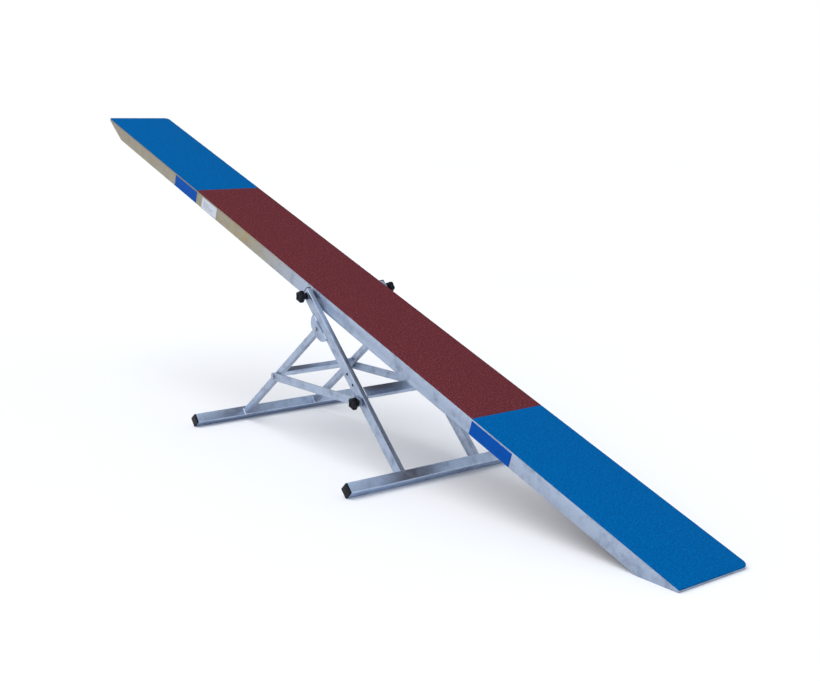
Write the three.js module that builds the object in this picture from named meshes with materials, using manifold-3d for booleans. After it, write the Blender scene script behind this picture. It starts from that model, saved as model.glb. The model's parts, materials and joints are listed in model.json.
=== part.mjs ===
// A dog-agility seesaw: a rubber-topped aluminium plank, 3.7 m long, that tilts on a folding
// trestle of square and rectangular aluminium tube. Millimetres. +Z is up, +X runs along the
// plank towards the end that rests on the ground, and the origin is on the ground under the
// tilt axis. "near" pieces lie at -Y and "far" pieces at +Y.

import * as THREE from 'three';
import { mergeVertices } from 'three/addons/utils/BufferGeometryUtils.js';
import Module from 'manifold-3d';

const wasm = await Module();
wasm.setup();

// ---- driving dimensions ------------------------------------------------------------------

const GAP = 0.3; // left between pieces that touch
const OVERCUT = 10; // how far a cutting tool runs past the piece it cuts
const TOOL_REACH = 300; // half the width of a tool that cuts both sides at once
const JOIN_DEPTH = 2; // how far parts of one piece run into each other

// plank, in its own frame: x along it from its middle, z up from the walking surface
const PLANK_LENGTH = 3700;
const PLANK_WIDTH = 300;
const PLANK_DEPTH = 60;
const TIP_DEPTH = 12;
const SLOPE_START = 1600; // from the middle; each end's underside slopes up beyond it
const CONTACT_LENGTH = 900;
const RUBBER_THICKNESS = 5;
const RUBBER_INSET = 1.5;
const DECK_THICKNESS = 3;
const RAIL_WIDTH = 20;
const RAIL_WALL = 2.5;
const NOSE_LENGTH = 24;
const CORNER_RADIUS = 22; // of the two far corners; the near ones are square
const CORNER_STEPS = 5;
const BAND_LENGTH = 200;
const LABEL_START = 770;
const LABEL_LENGTH = 130;
const FILM_THICKNESS = 0.4;
const FILM_TOP_MARGIN = 1; // below the rail's top
const RIB_PLACES = [-1300, -450, 450, 1300];

// tilt axis
const REST_TILT = THREE.MathUtils.degToRad(18.65);
const PIVOT_DEPTH = 32.7; // below the walking surface
const PIVOT_OFFSET = -4; // towards the high end, so that the other end always drops
const AXLE_RADIUS = 13;
const STUD_RADIUS = 5;
const STUD_HOLE_RADIUS = 5.3;

// trestle
const FRONT_ANGLE = THREE.MathUtils.degToRad(43.9);
const REAR_ANGLE = THREE.MathUtils.degToRad(38.3);
const LEG_INNER_Y = 158;
const LEG_THICKNESS = 20;
const FRONT_LEG_DEPTH = 40;
const REAR_LEG_DEPTH = 25;
const TUBE_WALL = 2.5;
const TUBE_CORNER = 2;
const LEG_TOP = 25; // above the tilt axis, along the leg
const LEG_CAP_LENGTH = 4;
const LEG_PLUG_END = 9; // where the cap's plug ends above the tilt axis
const LEG_TOE_HEIGHT = 2;
const HEIGHT_HOLES = [359, 407, 481]; // along the leg from the tilt axis; a brace uses the last
const FRONT_BAR_HALF_LENGTH = 418;
const REAR_BAR_HALF_LENGTH = 396;
const BAR_SIZE = 40;
const BAR_WALL = 3;
const BAR_CORNER = 3.5;
const BAR_FLAT_DEPTH = 0.8; // taken off the rounded edge that stands on the ground
const BAR_CAP_LENGTH = 5;
const BAR_PLUG_END = 28; // from the bar's end
const FRONT_BAR_OFFSET = 19.7; // forward of the leg's centre line
const REAR_BAR_OFFSET = 5;
const CROSSBAR_DEPTH = 40;
const CROSSBAR_THICKNESS = 20;
const FRONT_CROSSBAR_PLACE = 452;
const REAR_CROSSBAR_PLACE = -344.5;

// base hinge
const HINGE_ALONG = 126; // along the front leg
const HINGE_BEHIND = 37; // behind its centre line
const HINGE_HEAD_FLATS = 13;
const HINGE_HEAD_HEIGHT = 4;
const HINGE_NUT_FLATS = 16;
const HINGE_NUT_HEIGHT = 8;
const PLATE_THICKNESS = 4;
const PLATE_OUTLINE = [ // along the front leg, and behind its centre line
  [76, 14], [76, 24], [80, 37], [88, 48], [99, 55], [112, 58], [128, 58.5], [146, 57],
  [163, 53], [178, 45], [189, 33], [195, 21], [196, 14],
];

// braces
const BRACE_WIDTH = 30;
const BRACE_THICKNESS = 8;
const BRACE_END_RADIUS = 14.5;
const SPACER_THICKNESS = 4.4; // between a leg and its brace
const SPACER_RADIUS = 11;
const BRACE_BOLT_ALONG = -371; // along the rear leg from the hinge
const BRACE_BOLT_OFFSET = -1.5;
const BRACE_BOLT_RADIUS = 4;
const BRACE_BOLT_HOLE_RADIUS = 4.3;
const BRACE_HEAD_FLATS = 15;
const BRACE_HEAD_HEIGHT = 4.7;

// hand knobs
const KNOB_RADIUS = 23.5;
const KNOB_LENGTH = 22;
const KNOB_LOBES = 5;
const KNOB_STEPS_PER_LOBE = 8;
const KNOB_LOBE_DEPTH = 2;
const KNOB_ROUNDING = 7;
const HUB_RADIUS = 8.5;
const COLLAR_RADIUS = 13.5;
const COLLAR_LENGTH = 2.5;
const HUB_LENGTH = 12.5;
const BRACE_HUB_LENGTH = 5.5;
const WASHER_RADIUS = 12;
const WASHER_THICKNESS = 2.5;
const PIVOT_STUD_DEPTH = 50; // how far a pivot stud goes into the axle tube

// ---- values worked out from them ---------------------------------------------------------

const HALF_LENGTH = PLANK_LENGTH / 2;
const HALF_WIDTH = PLANK_WIDTH / 2;
const LEG_OUTER_Y = LEG_INNER_Y + LEG_THICKNESS;
const LEG_MIDDLE_Y = LEG_INNER_Y + LEG_THICKNESS / 2;
const DECK_TOP = -RUBBER_THICKNESS - GAP;
const RAIL_TOP = DECK_TOP - DECK_THICKNESS - GAP;
const PIVOT_HEIGHT = (HALF_LENGTH - PIVOT_OFFSET) * Math.sin(REST_TILT)
  - (PIVOT_DEPTH - TIP_DEPTH) * Math.cos(REST_TILT);
const COLOUR_LINE = HALF_LENGTH - CONTACT_LENGTH;
const SIDES = [{ name: 'near', sign: -1 }, { name: 'far', sign: 1 }];
const ENDS = [{ name: 'low', sign: 1 }, { name: 'high', sign: -1 }];

// ---- finishes ----------------------------------------------------------------------------

function finish(color, roughness, metalness) {
  return new THREE.MeshStandardMaterial({ color, roughness, metalness });
}

const FINISHES = {
  aluminium: finish(0xb4bcc8, 0.45, 0.9),
  blueRubber: finish(0x0064aa, 0.95, 0),
  redRubber: finish(0x693236, 0.95, 0),
  blueFilm: finish(0x0050af, 0.5, 0),
  whiteFilm: finish(0xe4e6ea, 0.5, 0),
  blackPlastic: finish(0x1c2029, 0.55, 0),
  steel: finish(0x9aa0a8, 0.3, 1),
};

// ---- geometry helpers --------------------------------------------------------------------

function toManifold(geometry) {
  const bare = geometry.clone();
  bare.deleteAttribute('normal');
  bare.deleteAttribute('uv');
  const merged = mergeVertices(bare, 1e-4);
  return new wasm.Manifold(new wasm.Mesh({
    numProp: 3,
    vertProperties: new Float32Array(merged.attributes.position.array),
    triVerts: new Uint32Array(merged.index.array),
  }));
}

function toGeometry(manifold) {
  const mesh = manifold.getMesh();
  const geometry = new THREE.BufferGeometry();
  geometry.setAttribute('position', new THREE.BufferAttribute(mesh.vertProperties, 3));
  geometry.setIndex(new THREE.BufferAttribute(mesh.triVerts, 1));
  geometry.computeVertexNormals();
  return geometry;
}

function cut(geometry, ...tools) {
  let solid = toManifold(geometry);
  for (const tool of tools) solid = solid.subtract(toManifold(tool));
  return toGeometry(solid);
}

function join(geometry, ...others) {
  let solid = toManifold(geometry);
  for (const other of others) solid = solid.add(toManifold(other));
  return toGeometry(solid);
}

function overlap(geometry, other) {
  return toGeometry(toManifold(geometry).intersect(toManifold(other)));
}

function outline(points) {
  return new THREE.Shape(points.map(([x, y]) => new THREE.Vector2(x, y)));
}

function roundedRectangle(width, height, radius, centreX = 0, centreY = 0, steps = 3) {
  const points = [];
  for (const [sideX, sideY, start] of [[1, -1, 270], [1, 1, 0], [-1, 1, 90], [-1, -1, 180]]) {
    for (let step = 0; step <= steps; step += 1) {
      const angle = THREE.MathUtils.degToRad(start + (90 * step) / steps);
      points.push([
        centreX + sideX * (width / 2 - radius) + radius * Math.cos(angle),
        centreY + sideY * (height / 2 - radius) + radius * Math.sin(angle),
      ]);
    }
  }
  return outline(points);
}

function tubeSection(width, height, wall, radius, centreX = 0, centreY = 0) {
  const shape = roundedRectangle(width, height, radius, centreX, centreY);
  shape.holes.push(outline([
    [centreX - width / 2 + wall, centreY - height / 2 + wall],
    [centreX - width / 2 + wall, centreY + height / 2 - wall],
    [centreX + width / 2 - wall, centreY + height / 2 - wall],
    [centreX + width / 2 - wall, centreY - height / 2 + wall],
  ]));
  return shape;
}

// a shape drawn in x and z, carried along Y
function prismY(shape, fromY, toY, curveSegments = 3) {
  const options = { depth: toY - fromY, bevelEnabled: false, curveSegments };
  return new THREE.ExtrudeGeometry(shape, options).rotateX(Math.PI / 2).translate(0, toY, 0);
}

// a shape drawn in y and z, carried along X
function prismX(shape, fromX, toX, curveSegments = 3) {
  const options = { depth: toX - fromX, bevelEnabled: false, curveSegments };
  const turn = new THREE.Matrix4().makeBasis(
    new THREE.Vector3(0, 1, 0), new THREE.Vector3(0, 0, 1), new THREE.Vector3(1, 0, 0));
  return new THREE.ExtrudeGeometry(shape, options).applyMatrix4(turn).translate(fromX, 0, 0);
}

// a shape drawn in x and y, carried along Z
function prismZ(shape, fromZ, toZ, curveSegments = 6) {
  const options = { depth: toZ - fromZ, bevelEnabled: false, curveSegments };
  return new THREE.ExtrudeGeometry(shape, options).translate(0, 0, fromZ);
}

function box(fromX, toX, fromY, toY, fromZ, toZ) {
  return new THREE.BoxGeometry(toX - fromX, toY - fromY, toZ - fromZ)
    .translate((fromX + toX) / 2, (fromY + toY) / 2, (fromZ + toZ) / 2);
}

function rodY(radius, fromY, toY, x = 0, z = 0, sides = 24) {
  return new THREE.CylinderGeometry(radius, radius, toY - fromY, sides)
    .translate(x, (fromY + toY) / 2, z);
}

function ringY(outer, inner, fromY, toY) {
  const shape = new THREE.Shape().absarc(0, 0, outer, 0, Math.PI * 2);
  shape.holes.push(new THREE.Path().absarc(0, 0, inner, 0, Math.PI * 2, true));
  return prismY(shape, fromY, toY, 12);
}

function hexY(acrossFlats, fromY, toY) {
  return rodY(acrossFlats / Math.sqrt(3), fromY, toY, 0, 0, 6);
}

// ---- scene helpers -----------------------------------------------------------------------

const seesaw = new THREE.Group();

function turnedGroup(parent, x, z, turn) {
  const group = new THREE.Group();
  group.position.set(x, 0, z);
  group.rotation.y = turn;
  parent.add(group);
  return group;
}

// everything below a height above the ground, as seen from inside a turned group
function below(group, height) {
  group.updateWorldMatrix(true, false);
  return box(-PLANK_LENGTH, PLANK_LENGTH, -PLANK_LENGTH, PLANK_LENGTH, -PLANK_LENGTH, height)
    .applyMatrix4(group.matrixWorld.clone().invert());
}

function add(parent, name, geometry, material) {
  const mesh = new THREE.Mesh(geometry, material);
  mesh.name = name;
  parent.add(mesh);
  return mesh;
}

// a piece drawn with its outer end towards +Y, put at x and z on either side
function addOutward(parent, side, name, geometry, material, x = 0, z = 0) {
  const mesh = add(parent, `${name}_${side.name}`, geometry, material);
  mesh.position.set(x, 0, z);
  mesh.rotation.z = side.sign > 0 ? 0 : Math.PI;
  return mesh;
}

function sideRange(side, inner, outer) {
  return side.sign > 0 ? [inner, outer] : [-outer, -inner];
}

// ---- plank -------------------------------------------------------------------------------

const tiltAxis = turnedGroup(seesaw, 0, PIVOT_HEIGHT, REST_TILT);
const plank = turnedGroup(tiltAxis, -PIVOT_OFFSET, PIVOT_DEPTH, 0);

// how low the sloping underside of an end lies at a place along the plank
function undersideAt(x) {
  return -TIP_DEPTH - (HALF_LENGTH - Math.abs(x)) * Math.tan(REST_TILT);
}

// what is sawn off under one end, so that it lies flat on the ground
function endCut(sign) {
  const outer = HALF_LENGTH + OVERCUT;
  const bottom = undersideAt(SLOPE_START) - OVERCUT;
  const points = [
    [sign * SLOPE_START, bottom],
    [sign * outer, bottom],
    [sign * outer, undersideAt(outer)],
    [sign * SLOPE_START, undersideAt(SLOPE_START)],
  ];
  return prismY(outline(points), -TOOL_REACH, TOOL_REACH);
}

// the plank's plan between two places, with a rounded far corner where it reaches an end
function plankPlan(fromX, toX, inset) {
  const halfWidth = HALF_WIDTH - inset;
  const radius = CORNER_RADIUS - inset;
  const points = [];
  for (const [x, sideX, sideY, start] of [
    [toX, 1, -1, 270], [toX, 1, 1, 0], [fromX, -1, 1, 90], [fromX, -1, -1, 180],
  ]) {
    const rounded = sideY > 0 && Math.abs(x) > HALF_LENGTH - CORNER_RADIUS;
    const steps = rounded ? CORNER_STEPS : 0;
    for (let step = 0; step <= steps; step += 1) {
      const angle = THREE.MathUtils.degToRad(start + (90 * step) / CORNER_STEPS);
      points.push(rounded
        ? [x - sideX * radius + radius * Math.cos(angle),
          sideY * (halfWidth - radius) + radius * Math.sin(angle)]
        : [x, sideY * halfWidth]);
    }
  }
  return outline(points);
}

function addRubber() {
  const half = GAP / 2;
  const end = HALF_LENGTH - RUBBER_INSET;
  const strips = [
    ['rubber_low', COLOUR_LINE + half, end, FINISHES.blueRubber],
    ['rubber_middle', -COLOUR_LINE + half, COLOUR_LINE - half, FINISHES.redRubber],
    ['rubber_high', -end, -COLOUR_LINE - half, FINISHES.blueRubber],
  ];
  for (const [name, fromX, toX, material] of strips) {
    const plan = plankPlan(fromX, toX, RUBBER_INSET);
    add(plank, name, prismZ(plan, -RUBBER_THICKNESS, 0), material);
  }
}

function addDeckSheet() {
  const plan = plankPlan(-HALF_LENGTH, HALF_LENGTH, 0);
  const sheet = prismZ(plan, DECK_TOP - DECK_THICKNESS, DECK_TOP);
  add(plank, 'deck_sheet', sheet, FINISHES.aluminium);
}

function addRails() {
  const height = PLANK_DEPTH + RAIL_TOP;
  const middleZ = RAIL_TOP - height / 2;
  const end = HALF_LENGTH - NOSE_LENGTH - GAP;
  for (const side of SIDES) {
    const middleY = side.sign * (HALF_WIDTH - RAIL_WIDTH / 2);
    const section = tubeSection(RAIL_WIDTH, height, RAIL_WALL, TUBE_CORNER, middleY, middleZ);
    const axleHole = rodY(
      AXLE_RADIUS + GAP, -TOOL_REACH, TOOL_REACH, PIVOT_OFFSET, -PIVOT_DEPTH, 32);
    const rail = cut(prismX(section, -end, end), endCut(1), endCut(-1), axleHole);
    add(plank, `rail_${side.name}`, rail, FINISHES.aluminium);
  }
}

function addNoseBars() {
  for (const end of ENDS) {
    const inner = HALF_LENGTH - NOSE_LENGTH;
    const section = outline([
      [end.sign * inner, undersideAt(inner)],
      [end.sign * HALF_LENGTH, -TIP_DEPTH],
      [end.sign * HALF_LENGTH, RAIL_TOP],
      [end.sign * inner, RAIL_TOP],
    ]);
    const plan = prismZ(plankPlan(-HALF_LENGTH, HALF_LENGTH, 0), -PLANK_DEPTH, 0);
    const bar = overlap(prismY(section, -HALF_WIDTH, HALF_WIDTH), plan);
    add(plank, `nose_bar_${end.name}`, bar, FINISHES.aluminium);
  }
}

function addRibs() {
  const half = HALF_WIDTH - RAIL_WIDTH - GAP;
  RIB_PLACES.forEach((place, index) => {
    const middleZ = RAIL_TOP - CROSSBAR_THICKNESS / 2;
    const section = tubeSection(
      CROSSBAR_DEPTH, CROSSBAR_THICKNESS, TUBE_WALL, TUBE_CORNER, place, middleZ);
    add(plank, `deck_rib_${index + 1}`, prismY(section, -half, half), FINISHES.aluminium);
  });
}

function addAxleTube() {
  const tube = ringY(AXLE_RADIUS, STUD_HOLE_RADIUS, -HALF_WIDTH, HALF_WIDTH);
  const mesh = add(plank, 'axle_tube', tube, FINISHES.steel);
  mesh.position.set(PIVOT_OFFSET, 0, -PIVOT_DEPTH);
}

function addFilms() {
  const inner = HALF_WIDTH + GAP;
  const outer = inner + FILM_THICKNESS;
  const bottom = -PLANK_DEPTH + TUBE_CORNER;
  const top = RAIL_TOP - FILM_TOP_MARGIN;
  for (const end of ENDS) {
    for (const side of SIDES) {
      const [fromY, toY] = sideRange(side, inner, outer);
      const places = [end.sign * COLOUR_LINE, end.sign * (COLOUR_LINE + BAND_LENGTH)];
      const band = box(Math.min(...places), Math.max(...places), fromY, toY, bottom, top);
      add(plank, `side_band_${end.name}_${side.name}`, band, FINISHES.blueFilm);
    }
  }
  const start = -LABEL_START - LABEL_LENGTH;
  const label = box(start, -LABEL_START, -outer, -inner, bottom + TUBE_CORNER, top);
  add(plank, 'side_label', label, FINISHES.whiteFilm);
}

// ---- hand knobs --------------------------------------------------------------------------

function knobOutline() {
  const shape = new THREE.Shape();
  const steps = KNOB_LOBES * KNOB_STEPS_PER_LOBE;
  const mean = KNOB_RADIUS - KNOB_LOBE_DEPTH;
  for (let step = 0; step < steps; step += 1) {
    const angle = (step / steps) * Math.PI * 2;
    const radius = mean + KNOB_LOBE_DEPTH * Math.cos(KNOB_LOBES * angle);
    const point = [radius * Math.cos(angle), radius * Math.sin(angle)];
    if (step === 0) shape.moveTo(...point);
    else shape.lineTo(...point);
  }
  return shape;
}

// a lobed head on a collared hub, with a blind hole for its stud, from y = 0 outwards
function knobGeometry(hubLength) {
  const head = new THREE.ExtrudeGeometry(knobOutline(), {
    depth: KNOB_LENGTH - 2 * KNOB_ROUNDING,
    bevelThickness: KNOB_ROUNDING,
    bevelSize: KNOB_ROUNDING,
    bevelOffset: -KNOB_ROUNDING,
    bevelSegments: 3,
  });
  head.rotateX(-Math.PI / 2).translate(0, hubLength + KNOB_ROUNDING, 0);
  const hub = rodY(HUB_RADIUS, 0, hubLength + KNOB_ROUNDING);
  const collar = rodY(COLLAR_RADIUS, 0, COLLAR_LENGTH);
  const studHole = rodY(STUD_HOLE_RADIUS, -OVERCUT, hubLength);
  return cut(join(head, hub, collar), studHole);
}

// knob, stud and washer; the washer's inner face is at washerY and the stud's end at studY
function addKnob(parent, side, name, x, z, washerY, studY, hubLength) {
  const hubY = washerY + WASHER_THICKNESS + GAP;
  const knob = knobGeometry(hubLength).translate(0, hubY, 0);
  const stud = rodY(STUD_RADIUS, studY, hubY + hubLength - GAP);
  const washer = ringY(WASHER_RADIUS, STUD_HOLE_RADIUS, washerY, washerY + WASHER_THICKNESS);
  addOutward(parent, side, `${name}_knob`, knob, FINISHES.blackPlastic, x, z);
  addOutward(parent, side, `${name}_stud`, stud, FINISHES.steel, x, z);
  addOutward(parent, side, `${name}_washer`, washer, FINISHES.steel, x, z);
}

// ---- front frame, in a frame whose x runs down the leg from the tilt axis -------------------

const frontFrame = turnedGroup(seesaw, 0, PIVOT_HEIGHT, FRONT_ANGLE);

// height of a square bar's centre when it stands on the flat of one of its rounded edges
function restingHeight(turn) {
  const roundEdge = (BAR_SIZE / 2 - BAR_CORNER) * (Math.cos(turn) + Math.sin(turn)) + BAR_CORNER;
  return roundEdge - BAR_FLAT_DEPTH;
}

const frontBarPlace = (PIVOT_HEIGHT + FRONT_BAR_OFFSET * Math.cos(FRONT_ANGLE)
  - restingHeight(FRONT_ANGLE)) / Math.sin(FRONT_ANGLE);

function addFrontLegs() {
  const reach = BAR_SIZE / 2 + GAP;
  const toe = frontBarPlace + 3 * BAR_SIZE / 2;
  const notch = box(
    frontBarPlace - reach, toe + OVERCUT, -TOOL_REACH, TOOL_REACH,
    FRONT_BAR_OFFSET - reach, FRONT_LEG_DEPTH);
  const ground = below(frontFrame, LEG_TOE_HEIGHT);
  const holes = [0, ...HEIGHT_HOLES].map(
    (place) => rodY(STUD_HOLE_RADIUS, -TOOL_REACH, TOOL_REACH, place, 0));
  for (const side of SIDES) {
    const section = tubeSection(
      LEG_THICKNESS, FRONT_LEG_DEPTH, TUBE_WALL, TUBE_CORNER, side.sign * LEG_MIDDLE_Y, 0);
    const tube = prismX(section, -LEG_TOP + LEG_CAP_LENGTH, toe);
    const leg = cut(tube, notch, ground, ...holes);
    add(frontFrame, `front_leg_${side.name}`, leg, FINISHES.aluminium);
  }
}

// a plastic cap with a plug that goes into the top of the leg tube
function addLegCaps() {
  const insertInset = TUBE_WALL + GAP;
  for (const side of SIDES) {
    const y = side.sign * LEG_MIDDLE_Y;
    const head = prismX(
      roundedRectangle(LEG_THICKNESS, FRONT_LEG_DEPTH, TUBE_CORNER, y, 0),
      -LEG_TOP, -LEG_TOP + LEG_CAP_LENGTH - GAP);
    const halfY = LEG_THICKNESS / 2 - insertInset;
    const halfZ = FRONT_LEG_DEPTH / 2 - insertInset;
    const plug = box(-LEG_TOP + JOIN_DEPTH, -LEG_PLUG_END, y - halfY, y + halfY, -halfZ, halfZ);
    add(frontFrame, `leg_cap_${side.name}`, join(head, plug), FINISHES.blackPlastic);
  }
}

function addFloorBar(parent, name, place, offset, halfLength) {
  const ground = below(parent, 0);
  const section = tubeSection(BAR_SIZE, BAR_SIZE, BAR_WALL, BAR_CORNER, place, offset);
  const end = halfLength - BAR_CAP_LENGTH - GAP;
  add(parent, `${name}_floor_bar`, cut(prismY(section, -end, end), ground), FINISHES.aluminium);
  const plugHalf = BAR_SIZE / 2 - BAR_WALL - GAP;
  for (const side of SIDES) {
    const [fromY, toY] = sideRange(side, halfLength - BAR_CAP_LENGTH, halfLength);
    const face = roundedRectangle(BAR_SIZE, BAR_SIZE, BAR_CORNER, place, offset);
    const head = prismY(face, fromY, toY);
    const [plugFrom, plugTo] = sideRange(side, halfLength - BAR_PLUG_END, halfLength - JOIN_DEPTH);
    const plug = box(
      place - plugHalf, place + plugHalf, plugFrom, plugTo, offset - plugHalf, offset + plugHalf);
    const cap = cut(join(head, plug), ground);
    add(parent, `${name}_bar_cap_${side.name}`, cap, FINISHES.blackPlastic);
  }
}

function addCrossbar(parent, name, place, offset) {
  const section = tubeSection(
    CROSSBAR_DEPTH, CROSSBAR_THICKNESS, TUBE_WALL, TUBE_CORNER, place, offset);
  const half = LEG_INNER_Y - GAP;
  add(parent, name, prismY(section, -half, half), FINISHES.aluminium);
}

// a plate welded to each side of a front leg, which together hold the rear leg's bolt
function addHingePlates() {
  const shape = outline(PLATE_OUTLINE.map(([along, behind]) => [along, -behind]));
  const bolt = rodY(STUD_HOLE_RADIUS, -TOOL_REACH, TOOL_REACH, HINGE_ALONG, -HINGE_BEHIND);
  const layers = [
    ['inner', LEG_INNER_Y - GAP - PLATE_THICKNESS],
    ['outer', LEG_OUTER_Y + GAP],
  ];
  for (const side of SIDES) {
    for (const [layer, y] of layers) {
      const plate = cut(prismY(shape, ...sideRange(side, y, y + PLATE_THICKNESS)), bolt);
      add(frontFrame, `hinge_plate_${layer}_${side.name}`, plate, FINISHES.aluminium);
    }
  }
}

function addHingeBolts() {
  const inner = LEG_INNER_Y - GAP - PLATE_THICKNESS - GAP;
  const outer = LEG_OUTER_Y + GAP + PLATE_THICKNESS + GAP;
  for (const side of SIDES) {
    const shank = rodY(STUD_RADIUS, inner - HINGE_NUT_HEIGHT - JOIN_DEPTH, outer + JOIN_DEPTH);
    const bolt = join(shank, hexY(HINGE_HEAD_FLATS, outer, outer + HINGE_HEAD_HEIGHT));
    const nut = cut(
      hexY(HINGE_NUT_FLATS, inner - HINGE_NUT_HEIGHT, inner), rodY(STUD_HOLE_RADIUS, 0, TOOL_REACH));
    addOutward(frontFrame, side, 'hinge_bolt', bolt, FINISHES.steel, HINGE_ALONG, -HINGE_BEHIND);
    addOutward(frontFrame, side, 'hinge_nut', nut, FINISHES.steel, HINGE_ALONG, -HINGE_BEHIND);
  }
}

// a bush between the plank's rail and the top of each front leg
function addPivotBushes() {
  const bush = ringY(AXLE_RADIUS, STUD_HOLE_RADIUS, HALF_WIDTH + GAP, LEG_INNER_Y - GAP);
  for (const side of SIDES) addOutward(frontFrame, side, 'pivot_bush', bush, FINISHES.blackPlastic);
}

// ---- rear frame, in a frame whose x runs up the leg to the hinge bolt -----------------------

const hingeX = HINGE_ALONG * Math.cos(FRONT_ANGLE) - HINGE_BEHIND * Math.sin(FRONT_ANGLE);
const hingeZ = PIVOT_HEIGHT - HINGE_ALONG * Math.sin(FRONT_ANGLE)
  - HINGE_BEHIND * Math.cos(FRONT_ANGLE);
const rearFrame = turnedGroup(seesaw, hingeX, hingeZ, -REAR_ANGLE);
const rearBarPlace = (restingHeight(REAR_ANGLE) - hingeZ - REAR_BAR_OFFSET * Math.cos(REAR_ANGLE))
  / Math.sin(REAR_ANGLE);

function addRearLegs() {
  const foot = rearBarPlace + BAR_SIZE / 2 + GAP;
  const half = REAR_LEG_DEPTH / 2;
  const side = new THREE.Shape();
  side.moveTo(foot, -half);
  side.lineTo(0, -half);
  side.absarc(0, 0, half, -Math.PI / 2, Math.PI / 2);
  side.lineTo(foot, half);
  const rounded = prismY(side, -TOOL_REACH, TOOL_REACH, 12);
  const holes = [
    rodY(STUD_HOLE_RADIUS, -TOOL_REACH, TOOL_REACH),
    rodY(
      BRACE_BOLT_HOLE_RADIUS, -TOOL_REACH, TOOL_REACH, BRACE_BOLT_ALONG, BRACE_BOLT_OFFSET),
  ];
  for (const { name, sign } of SIDES) {
    const section = tubeSection(
      LEG_THICKNESS, REAR_LEG_DEPTH, TUBE_WALL, TUBE_CORNER, sign * LEG_MIDDLE_Y, 0);
    const leg = cut(overlap(prismX(section, foot, half + OVERCUT), rounded), ...holes);
    add(rearFrame, `rear_leg_${name}`, leg, FINISHES.aluminium);
  }
}

const BRACE_INNER_Y = LEG_OUTER_Y + SPACER_THICKNESS + 2 * GAP;
const BRACE_OUTER_Y = BRACE_INNER_Y + BRACE_THICKNESS;

function addBraceBolts() {
  const spacerFrom = LEG_OUTER_Y + GAP;
  const headFrom = BRACE_OUTER_Y + GAP;
  for (const side of SIDES) {
    const bolt = join(
      rodY(BRACE_BOLT_RADIUS, LEG_INNER_Y + TUBE_WALL + GAP, headFrom + JOIN_DEPTH),
      hexY(BRACE_HEAD_FLATS, headFrom, headFrom + BRACE_HEAD_HEIGHT));
    const spacer = ringY(
      SPACER_RADIUS, BRACE_BOLT_HOLE_RADIUS, spacerFrom, spacerFrom + SPACER_THICKNESS);
    addOutward(
      rearFrame, side, 'brace_bolt', bolt, FINISHES.steel, BRACE_BOLT_ALONG, BRACE_BOLT_OFFSET);
    addOutward(
      rearFrame, side, 'brace_spacer', spacer, FINISHES.steel, BRACE_BOLT_ALONG, BRACE_BOLT_OFFSET);
  }
}

// ---- braces ------------------------------------------------------------------------------

const braceRear = new THREE.Vector2(
  hingeX + BRACE_BOLT_ALONG * Math.cos(REAR_ANGLE) - BRACE_BOLT_OFFSET * Math.sin(REAR_ANGLE),
  hingeZ + BRACE_BOLT_ALONG * Math.sin(REAR_ANGLE) + BRACE_BOLT_OFFSET * Math.cos(REAR_ANGLE));
const braceFront = new THREE.Vector2(
  HEIGHT_HOLES.at(-1) * Math.cos(FRONT_ANGLE),
  PIVOT_HEIGHT - HEIGHT_HOLES.at(-1) * Math.sin(FRONT_ANGLE));
const braceSpan = braceFront.clone().sub(braceRear);
const braces = turnedGroup(seesaw, braceRear.x, braceRear.y, -braceSpan.angle());

function addBraces() {
  const length = braceSpan.length();
  const shape = roundedRectangle(
    length + BRACE_WIDTH, BRACE_WIDTH, BRACE_END_RADIUS, length / 2, 0, 8);
  shape.holes.push(new THREE.Path().absarc(0, 0, BRACE_BOLT_HOLE_RADIUS, 0, Math.PI * 2, true));
  shape.holes.push(new THREE.Path().absarc(length, 0, STUD_HOLE_RADIUS, 0, Math.PI * 2, true));
  for (const side of SIDES) {
    const bar = prismY(shape, ...sideRange(side, BRACE_INNER_Y, BRACE_OUTER_Y), 10);
    add(braces, `brace_${side.name}`, bar, FINISHES.aluminium);
    addKnob(
      braces, side, 'brace', length, 0, BRACE_OUTER_Y + GAP, LEG_OUTER_Y + GAP, BRACE_HUB_LENGTH);
  }
}

// ---- assembly ----------------------------------------------------------------------------

addRubber();
addDeckSheet();
addRails();
addNoseBars();
addRibs();
addAxleTube();
addFilms();
addFrontLegs();
addLegCaps();
addFloorBar(frontFrame, 'front', frontBarPlace, FRONT_BAR_OFFSET, FRONT_BAR_HALF_LENGTH);
addCrossbar(
  frontFrame, 'front_crossbar', FRONT_CROSSBAR_PLACE,
  (FRONT_LEG_DEPTH - CROSSBAR_THICKNESS) / 2);
addHingePlates();
addHingeBolts();
addPivotBushes();
addRearLegs();
addFloorBar(rearFrame, 'rear', rearBarPlace, REAR_BAR_OFFSET, REAR_BAR_HALF_LENGTH);
addCrossbar(rearFrame, 'rear_crossbar', REAR_CROSSBAR_PLACE, 0);
addBraceBolts();
addBraces();
for (const side of SIDES) {
  addKnob(
    frontFrame, side, 'pivot', 0, 0, LEG_OUTER_Y + GAP, HALF_WIDTH - PIVOT_STUD_DEPTH, HUB_LENGTH);
}

export default seesaw;
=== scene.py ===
# %% [markdown]
# # A dog-agility seesaw
# A 3.7 m plank covered in rubber granulate tilts on a folding trestle of aluminium tube. The CAD
# frame gives every size and place. This script adds what the eye looks for: rounded edges,
# granulate, welds, moulded knobs, stained metal, and the studio round it.

# %% Load the frame
import json
from math import cos, pi, radians

import bmesh
import bpy
from mathutils import Matrix, Vector, noise


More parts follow.
